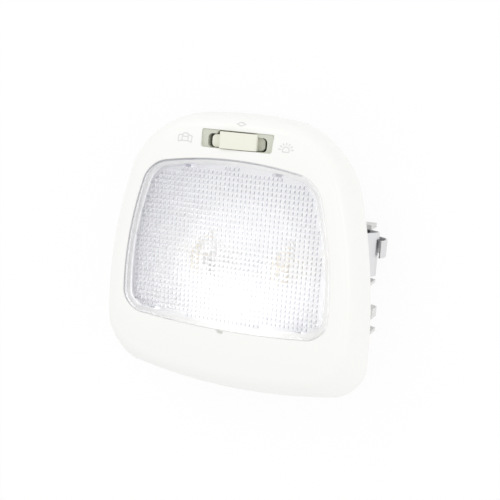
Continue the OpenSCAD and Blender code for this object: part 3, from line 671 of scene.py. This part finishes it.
# The cells of the grid that lie wholly inside the border, the place of a corner of the grid, and the
# cell at a place.
def prismGrid(c, edge):
    px, py = c["pitch"]
    border = outline(inset(edge, c["border"]))
    cols = 2 * math.floor(halfWidth(inset(lip, c["border"]), lipMidY) / px)
    rows = 2 * math.ceil(lipHeight / py / 2)

    def spot(i, j):
        return (i - cols / 2) * px, (j - rows / 2) * py + lipMidY

    def cellAt(x, y):
        return math.floor(x / px + cols / 2), math.floor((y - lipMidY) / py + rows / 2)

    inside = {(i, j) for i in range(cols + 1) for j in range(rows + 1) if insidePolygon(spot(i, j), border)}
    cells = [(i, j) for i in range(cols) for j in range(rows) if inside.issuperset(cellCorners(i, j))]
    return cells, spot, cellAt


# The prisms themselves, from the node tree, with their bases level with the ceiling.
def makePrisms(c, cells, spot):
    points = [(*spot(i + 0.5, j + 0.5), lensUnder) for i, j in cells]
    prisms = newObject("prismPoints", points, [], smooth=0)
    tree, ids = prismTree()
    mod = prisms.modifiers.new("prisms", "NODES")
    mod.node_group = tree
    across, up = c["pitch"]
    for name, value in (("Across", across * mm), ("Up", up * mm), ("Depth", c["depth"] * mm)):
        mod[ids[name]] = value
    mod[ids["Material"]] = lensClear
    applied(prisms)
    lift = lensUnder * mm - max(v.co.z for v in prisms.data.vertices)
    for v in prisms.data.vertices:
        v.co.z += lift
    return prisms


# The flat ring between the prisms and the inner wall of the lens's rim.
def makeCeiling(c, edge, cells, spot, cellAt):
    inner = outline(inset(edge, c["rim"]))
    used = sorted({n for cell in cells for n in cellCorners(*cell)})
    at = {n: k + len(inner) for k, n in enumerate(used)}
    flat = [tuple(q) for q in inner] + [spot(i, j) for i, j in used]
    edges = {tuple(sorted((k, (k + 1) % len(inner)))) for k in range(len(inner))}
    for cell in cells:
        loop = [at[n] for n in cellCorners(*cell)]
        edges |= {tuple(sorted((loop[k - 1], loop[k]))) for k in range(4)}
    enclosed, nearness = 1, 1e-7  # keep what the edges enclose; points this near count as one
    done = delaunay_2d_cdt([Vector(q) for q in flat], sorted(edges), [], enclosed, nearness)
    xy = np.array([tuple(v) for v in done[0]])
    filled = set(cells)
    keep = []
    for triangle in done[2]:
        middle = xy[list(triangle)].mean(0)
        if cellAt(*middle) not in filled and insidePolygon(middle, inner):
            keep.append(triangle)
    return newObject("ceiling", atHeight(xy, lensUnder), keep, smooth=0)


# The inner wall of the lens's rim, its rounded edge and the domed outside, open at the ceiling.
def makeShell(c, edge):
    inner, bottom, r = inset(edge, c["rim"]), seatZ + c["seatGap"], c["roundR"]
    steps = [atZ(inner, lensUnder), atZ(inner, bottom), atZ(edge, bottom)]
    for a in np.radians(c["edgeAngles"]):
        steps.append(atZ(inset(edge, r * (1 - math.cos(a))), lensTop - r + r * math.sin(a)))
    start, end = inset(edge, c["domeIn"]), inset(edge, lipHeight / 2 - c["middleR"])
    steps += [atZ(mix(start, end, t), lensTop + c["crown"] * (1 - (1 - t) ** 2)) for t in c["domeAt"]]
    points, faces = skinData([ring(p) for p in steps])
    return newObject("shell", points, faces[:-2] + faces[-1:], smooth=0)


def makeLens(c):
    edge = inset(lip, c["gap"])
    cells, spot, cellAt = prismGrid(c, edge)
    parts = [makePrisms(c, cells, spot), makeCeiling(c, edge, cells, spot, cellAt), makeShell(c, edge)]
    obj = joined("lensPrismatic", parts)
    bm = bmesh.new()
    bm.from_mesh(obj.data)
    bmesh.ops.remove_doubles(bm, verts=bm.verts, dist=c["welds"][1])
    bmesh.ops.delete(bm, geom=[v for v in bm.verts if not v.link_faces], context="VERTS")
    openEdges = sum(1 for e in bm.edges if len(e.link_faces) != 2)
    bm.to_mesh(obj.data)
    bm.free()
    print("lens open edges", openEdges, "cells", len(cells))
    finishMesh(obj, lensClear, smooth=25)
    return obj


# Lugs: springy arms with a hook under the ledge. Hook and tip hold heights below the hook's top, and
# upperShare sets the upper pair nearer to the middle.
lugSize = {"x": 33.8, "upperShare": 0.6, "w": 4.4, "armT": 1.2, "rimGap": 0.1, "sunk": 0.3, "hookOut": 1.1,
           "hookDown": 1.6, "hook": (0.05, 0.4), "tip": 2.4}
# Notches in the lower edge of the lens's front, over the lower lugs
notchSize = {"half": 2.2, "reach": 1.9, "behindRim": 1, "down": 1.1, "up": 4}
lugLine = inset(lip, lensSize["rim"] + lugSize["rimGap"])


def lensLug(c, x, up):
    top, deep = lensUnder + c["sunk"], seatZ - c["hookDown"]
    y, out = edgeY(lugLine, x, up), 1 if up else -1
    hookY, backY, tipZ = y + out * c["hookOut"], y - out * c["armT"], deep - c["tip"]
    side = [(y, top), (y, deep)] + [(hookY, deep - down) for down in c["hook"]]
    side += [(y, tipZ), (backY, tipZ), (backY, top)]
    return skin("lug", [np.array([(q, a, b) for a, b in side]) for q in (x - c["w"] / 2, x + c["w"] / 2)])


def lensNotch(c, x):
    y = edgeY(lugLine, lugSize["x"], False) - lensSize["rim"] - c["behindRim"]
    lo = (x - c["half"], y, lipZ - c["down"])
    hi = (x + c["half"], y + c["reach"], lipZ + c["up"])
    return newObject("notch", *boxData(lo, hi))


lens = makeLens(lensSize)
for side in (-1, 1):
    fuse(lens, lensLug(lugSize, side * lugSize["x"], False))
    fuse(lens, lensLug(lugSize, side * (lugSize["x"] * lugSize["upperShare"]), True))
    cut(lens, lensNotch(notchSize, side * lugSize["x"]))
finishMesh(lens, lensClear, smooth=25)
placed(lens, "light", "lens_clear", "lens")
print("lens done", len(lens.data.polygons))

# Reflector: a dish whose wall bends from the flange past a knee to the floor, with a slot for each leaf
# that holds the bulb
reflectorSize = {"floor": (22, 23.5, 38, 5, 5, 0, 0, 0, -8, 14.0), "thick": 1.2, "knee": 0.45, "kneeZ": 22,
                 "flangeIn": 3.6, "wall": 1, "floorGrow": 0.6, "slotX": 18.85, "slotHalf": 0.8,
                 "slotY": (-9, 1), "slotZ": (10, 18), "backSteps": 8, "dishSteps": 16,
                 "arcSteps": 12, "sideSteps": 8}


def makeReflector(c):
    low = np.array(c["floor"])
    flangeUnder = flangeZ - c["thick"]
    top = atZ(inset(lip, c["flangeIn"]), flangeZ)
    knee = atZ(mix(top, low, c["knee"]), c["kneeZ"])
    lowUnder = atZ(inset(low, -c["floorGrow"]), low[9] - c["thick"])
    kneeUnder = atZ(inset(knee, -c["wall"]), c["kneeZ"] - c["wall"])
    topUnder = atZ(inset(lip, c["flangeIn"] + c["wall"]), flangeUnder)
    steps = [bend(lowUnder, kneeUnder, topUnder, t) for t in np.linspace(0, 1, c["backSteps"] + 1)]
    steps += [atZ(lip, flangeUnder), atZ(lip, flangeZ)]
    steps += [bend(top, knee, low, t) for t in np.linspace(0, 1, c["dishSteps"] + 1)]
    obj = skin("reflectorDish", [ring(p, c["arcSteps"], c["sideSteps"]) for p in steps], look=plasticPaintedGlow)
    for x in (-c["slotX"], c["slotX"]):
        lo, hi = zip((x - c["slotHalf"], x + c["slotHalf"]), c["slotY"], c["slotZ"])
        cut(obj, newObject("slot", *boxData(lo, hi)))
    finishMesh(obj, plasticPaintedGlow, smooth=40)
    return obj


placed(makeReflector(reflectorSize), "light", "reflector_white", "reflector")
print("reflector done")

# Rocker, built round its pivot: the crowned knob, the wings in the opening beside it, the core, the stem
# with the spring's bore, and the trunnions. The core is given by two corners, and each rod by its radius
# and its ends.
rockerSize = {"knobW": 16.2, "half": 3.4, "crownR": 60, "cornerR": 1.2, "cornerDown": 1.5, "footIn": 0.3,
              "footDown": 1, "cornerTurn": 60, "cornerSteps": 6, "crownSteps": 12,
              "edge": 0.45, "edgeSteps": 4, "edgeAngle": 35,
              "wingX": (-12, 10.6), "wingY": (-3.38, 1.9), "wingR": 1.7, "wingTop": 5.0, "wingT": 2.0,
              "core": ((-3.4, -3.38, -2.2), (3.4, 3.38, 4)), "stem": (2.6, -7.5, 0),
              "trunnion": (1.5, -4.9, 4.9), "bore": (1.7, -9, -1)}


# The knob's outline, seen along y: up its right side, over the crown and down its left side.
def knobProfile(c):
    half, top, r = c["knobW"] / 2, switchSize["drop"], c["cornerR"]
    foot, cornerZ = c["wingTop"] - c["footDown"], top - c["cornerDown"]
    reach = math.asin((half - r) / c["crownR"])
    points = [(half - c["footIn"], foot)]
    for b in np.radians(np.linspace(0, c["cornerTurn"], c["cornerSteps"] + 1)):
        points.append((half - r + r * math.cos(b), cornerZ + r * math.sin(b)))
    for b in np.linspace(reach, -reach, c["crownSteps"] + 1):
        points.append((c["crownR"] * math.sin(b), top - c["crownR"] * (1 - math.cos(b))))
    for b in np.radians(np.linspace(180 - c["cornerTurn"], 180, c["cornerSteps"] + 1)):
        points.append((r - half + r * math.cos(b), cornerZ + r * math.sin(b)))
    return points + [(c["footIn"] - half, foot)]


def makeRocker(c):
    profile = knobProfile(c)
    knob = skin("rockerKnob", [np.array([(x, y, z) for x, z in profile]) for y in (-c["half"], c["half"])])
    (x0, x1), (y0, y1), top = c["wingX"], c["wingY"], c["wingTop"]
    xy = roundedBox(x1 - x0, y1 - y0, c["wingR"]) + [(x0 + x1) / 2, (y0 + y1) / 2]
    fuse(knob, skin("wing", [atHeight(xy, z) for z in (top - c["wingT"], top)]))
    fuse(knob, newObject("core", *boxData(*c["core"])))
    addBevel(knob, c["edge"], c["edgeSteps"], c["edgeAngle"])
    applied(knob)
    fuse(knob, newObject("stem", *rod(*c["stem"], wideSides)))
    fuse(knob, newObject("trunnions", *rod(*c["trunnion"], slimSides, alongY=True)))
    cut(knob, newObject("bore", *rod(*c["bore"], slimSides)))
    lean = Matrix.Rotation(math.radians(switchSize["lean"]), 4, "Y")
    pivot = Vector((switchSize["x"], switchSize["y"], pivotZ)) * mm
    knob.data.transform(Matrix.Translation(pivot) @ lean)
    finishMesh(knob, plasticKnob, smooth=35)
    return knob


placed(makeRocker(rockerSize), "rocker", "knob_ivory", "rocker_button")
print("rocker done")

# Printed pictograms: the width of their lines, how far they stand off the face, the spacing of their
# points, and their places
iconSize = {"line": 0.5, "lift": 0.015, "step": 0.25, "door": (-21.6, 49.6), "off": (2.6, 56.9),
            "lamp": (23.3, 49.1)}


# Points and faces of a flat line of that width, laid on the bezel.
def ribbon(points, width, closed=False):
    corners = [Vector(p) for p in points]
    if closed:
        corners.append(corners[0])
    dense = []
    for a, b in zip(corners, corners[1:]):
        count = max(1, math.ceil((b - a).length / iconSize["step"]))
        dense += [a.lerp(b, k / count) for k in range(count)]
    dense.append(corners[-1])
    last = len(dense) - 1
    verts = []
    for k, q in enumerate(dense):
        if closed and k in (0, last):
            along = dense[1] - dense[-2]
        else:
            along = dense[min(k + 1, last)] - dense[max(k - 1, 0)]
        side = Vector((-along.y, along.x)).normalized() * width / 2
        for edge in (side, -side):
            hit, normal = surfaceHit(q.x + edge.x, q.y + edge.y)
            verts.append(hit / mm + normal * iconSize["lift"])
    return verts, [(2 * k, 2 * k + 1, 2 * k + 3, 2 * k + 2) for k in range(last)]


def onEllipse(cy, rx, ry, a):
    return rx * math.cos(a), cy + ry * math.sin(a)


# Points of an ellipse as far as an angle in degrees, without the last one.
def ellipse(cy, rx, ry, end=360, count=28):
    return [onEllipse(cy, rx, ry, a) for a in np.radians(np.linspace(0, end, count))][:-1]


# Each line is a list of points and whether it runs back to its first.
def pictogram(name, centre, lines):
    verts, faces = [], []
    for points, closed in lines:
        v, f = ribbon([(centre[0] + x, centre[1] + y) for x, y in points], iconSize["line"], closed)
        faces += [tuple(i + len(verts) for i in q) for q in f]
        verts += v
    placed(newObject(name, verts, faces, printGrey), "light", "switch_plastic")


# a car seen from the front with both doors open
pictogram("iconDoor", iconSize["door"], [
    ([(-1.4, -1.5), (-1.4, 0.3), (-0.9, 1.6), (0.9, 1.6), (1.4, 0.3), (1.4, -1.5)], True),
    ([(-1.4, 0.2), (1.4, 0.2)], False),
    ([(-1.4, -1.4), (-3.0, -2.0), (-3.2, 0.5), (-1.4, 1.0)], False),
    ([(1.4, -1.4), (3.0, -2.0), (3.2, 0.5), (1.4, 1.0)], False)])
# a lamp that is off
pictogram("iconOff", iconSize["off"], [
    (ellipse(0, 1.3, 0.65), True), ([(-2.2, 0), (-1.5, 0)], False), ([(1.5, 0), (2.2, 0)], False)])
# a lamp with its rays
lampY = -0.9
rays = [([onEllipse(lampY, 2.1, 2.1, a), onEllipse(lampY, 3.3, 3.1, a)], False)
        for a in np.radians((8, 36, 63, 90, 117, 144, 172))]
pictogram("iconLamp", iconSize["lamp"], [
    (ellipse(lampY, 1.4, 1.4, 180) + [(-1.4, -1.5), (1.4, -1.5)], True)] + rays)
print("pictograms done")

# Nodes that keep their own shape and only get a material; the clips get a fine bevel besides
keptNodes = ((plasticRear, ("rear_housing",)), (glassClear, ("bulb_glass",)), (tungsten, ("bulb_filament",)),
             (plasticBody, ("switch_body",)), (nickel, ("bulb_cap_left", "bulb_cap_right")),
             (brass, ("lamp_strip", "feed_strip", "ground_terminal", "door_terminal", "detent_plunger",
                      "contact_bridge")),
             (steel, ("detent_spring", "clip_left", "clip_right", "housing_screws")))
clipEdge = {"width": 0.12, "segments": 2, "angle": 30}
for look, names in keptNodes:
    for name in names:
        nodes[name].data.materials.clear()
        nodes[name].data.materials.append(look)
for name in ("clip_left", "clip_right"):
    addBevel(nodes[name], **clipEdge)

# Floor and light; the places and sizes of the lamps are in metres and their powers in watts
stageLook = {"floorHalf": 2000, "floor": (0.93, 0.93, 0.925), "floorRough": 0.9, "shadow": 0.09, "world": 1.0,
             "aim": (0, 0, 0.03), "keyTopLeft": ((-0.5, 0.8, 0.8), (0.7, 0.5), 1.35),
             "fillRight": ((0.9, 0.1, 0.6), (0.5, 0.5), 0.95)}


# A pale floor that is white to the camera and keeps a share of the shadow.
def floorMaterial(c):
    look = bpy.data.materials.new("floorWhite")
    look.use_nodes = True
    tree, link = look.node_tree, look.node_tree.links.new
    bsdf, out = tree.nodes["Principled BSDF"], tree.nodes["Material Output"]
    bsdf.inputs["Base Color"].default_value = (*c["floor"], 1)
    bsdf.inputs["Roughness"].default_value = c["floorRough"]
    white = addNode(tree, "ShaderNodeEmission", {"Strength": 1})
    path = addNode(tree, "ShaderNodeLightPath")
    seen = addNode(tree, "ShaderNodeMath", operation="MAXIMUM")
    orThrough = addNode(tree, "ShaderNodeMath", operation="MAXIMUM")
    share = addNode(tree, "ShaderNodeMath", {1: 1 - c["shadow"]}, operation="MULTIPLY")
    both = addNode(tree, "ShaderNodeMixShader")
    link(path.outputs["Is Camera Ray"], seen.inputs[0])
    link(path.outputs["Is Glossy Ray"], seen.inputs[1])
    link(seen.outputs[0], orThrough.inputs[0])
    link(path.outputs["Is Transmission Ray"], orThrough.inputs[1])
    link(orThrough.outputs[0], share.inputs[0])
    link(share.outputs[0], both.inputs[0])
    link(bsdf.outputs[0], both.inputs[1])
    link(white.outputs[0], both.inputs[2])
    link(both.outputs[0], out.inputs["Surface"])
    return look


def makeFloor(c):
    far = c["floorHalf"]
    corners = [(-far, -far, 0), (far, -far, 0), (far, far, 0), (-far, far, 0)]
    return newObject("floor", corners, [(0, 1, 2, 3)], floorMaterial(c), smooth=0)


def makeWorld(c):
    world = bpy.data.worlds.new("studio")
    world.use_nodes = True
    background = world.node_tree.nodes["Background"]
    background.inputs["Color"].default_value = (1, 1, 1, 1)
    background.inputs["Strength"].default_value = c["world"]
    bpy.context.scene.world = world


def areaLight(name, c):
    place, size, power = c[name]
    data = bpy.data.lights.new(name, "AREA")
    data.shape = "RECTANGLE"
    data.size, data.size_y = size
    data.energy = power
    obj = bpy.data.objects.new(name, data)
    obj.location = place
    obj.rotation_euler = (Vector(c["aim"]) - Vector(place)).to_track_quat("-Z", "Y").to_euler()
    bpy.context.scene.collection.objects.link(obj)


floor = makeFloor(stageLook)
makeWorld(stageLook)
for lightName in ("keyTopLeft", "fillRight"):
    areaLight(lightName, stageLook)
bpy.context.scene.view_settings.view_transform = "Standard"

print("scene done")
